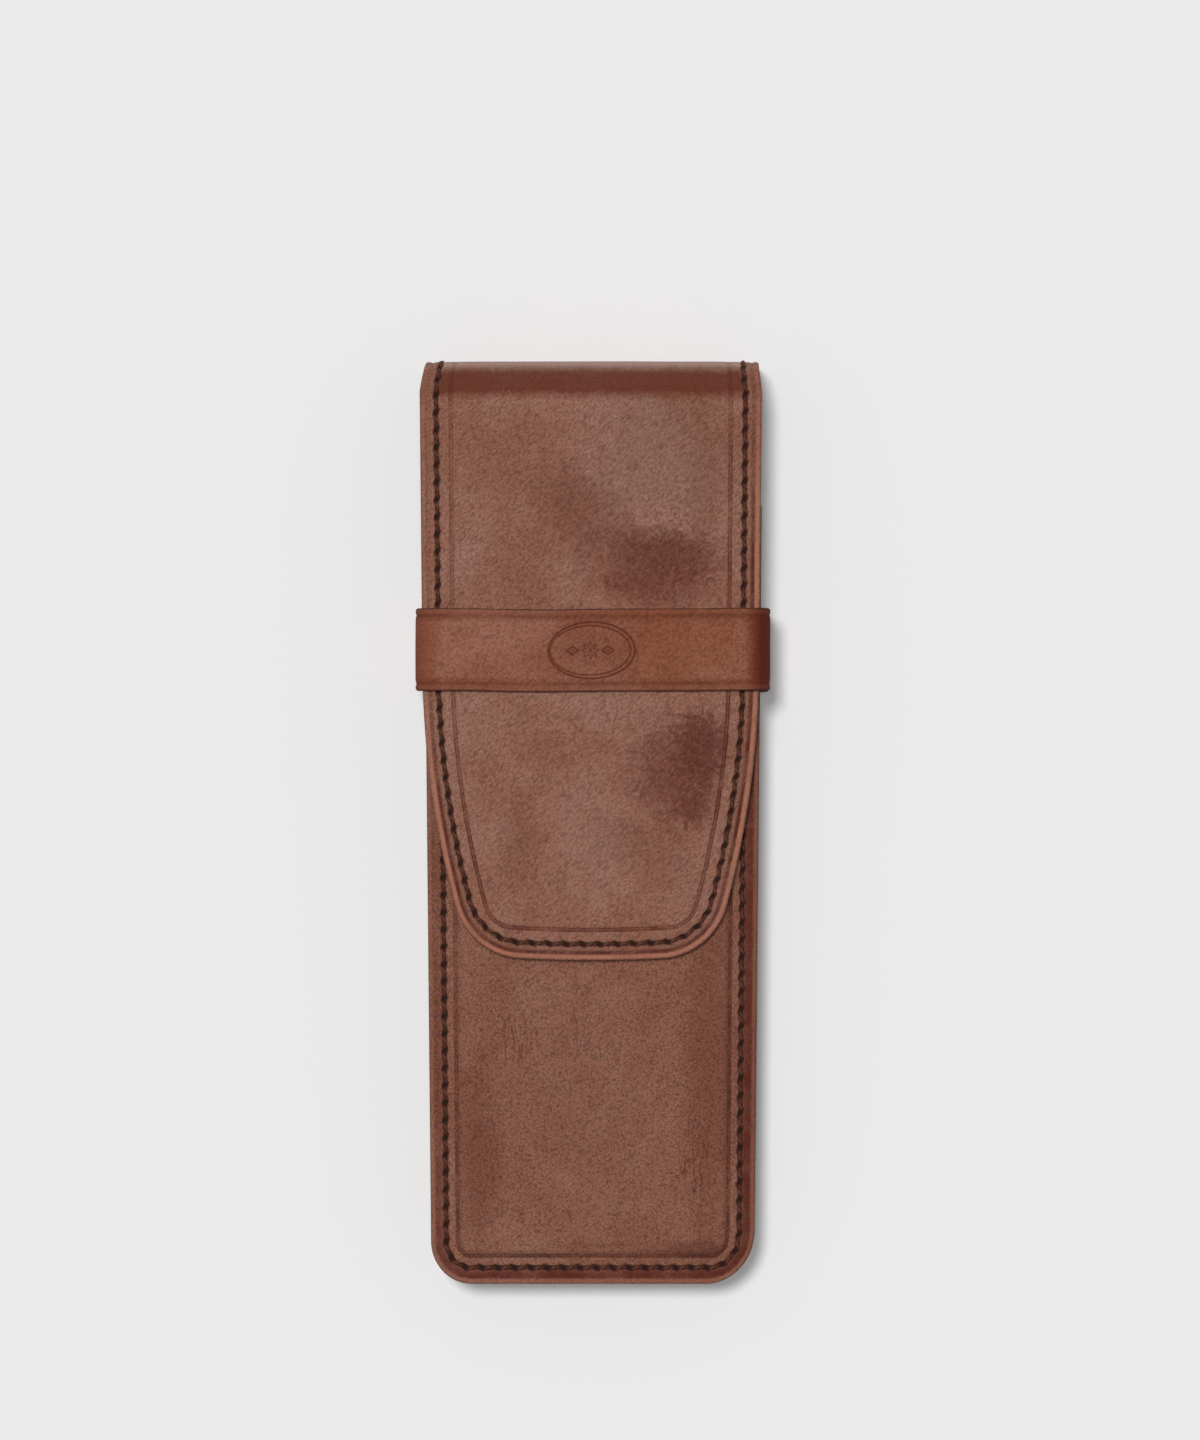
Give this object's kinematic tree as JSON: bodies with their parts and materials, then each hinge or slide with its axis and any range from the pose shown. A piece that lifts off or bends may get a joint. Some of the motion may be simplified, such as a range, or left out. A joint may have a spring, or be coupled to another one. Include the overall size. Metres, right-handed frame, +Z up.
{
  "type": "pen case",
  "caption": "Slim leather case for pens with a gusseted pocket and a fold-over tongue flap that tucks under a fixed strap.",
  "frame": {"origin": "middle of the case's outline, on the surface that its back lies on", "axes": "+Y along the case towards the fold, +Z up through the front, +X to the right seen from the front"},
  "size_m": [0.0628, 0.164, 0.0216],
  "materials": {
    "outer_leather": "pebbled brown leather with a soft sheen",
    "strap_leather": "smooth brown leather with creased edges",
    "gusset_leather": "thin brown leather",
    "lining_leather": "thin matte brown lining",
    "stiffener_board": "bonded leather board"
  },
  "bodies": {
    "case": {"back_panel": "outer_leather", "back_stiffener": "stiffener_board", "back_lining": "lining_leather", "gusset": "gusset_leather", "front_panel": "outer_leather", "front_stiffener": "stiffener_board", "front_lining": "lining_leather", "pen_divider": "lining_leather", "keeper_strap": "strap_leather"},
    "fold": {"fold_panel": "outer_leather", "fold_lining": "lining_leather"},
    "flap": {"flap_panel": "outer_leather", "flap_stiffener": "stiffener_board", "flap_lining": "lining_leather"}
  },
  "joints": [
    {"name": "fold_bend", "type": "hinge", "parent": "case", "child": "fold", "pos_m": [0, 0.08078, 0.00122], "axis": [-1, 0, 0], "range_deg": [0, 90]},
    {"name": "flap_bend", "type": "hinge", "parent": "fold", "child": "flap", "pos_m": [0, 0.08078, 0.01878], "axis": [-1, 0, 0], "range_deg": [0, 90]}
  ]
}
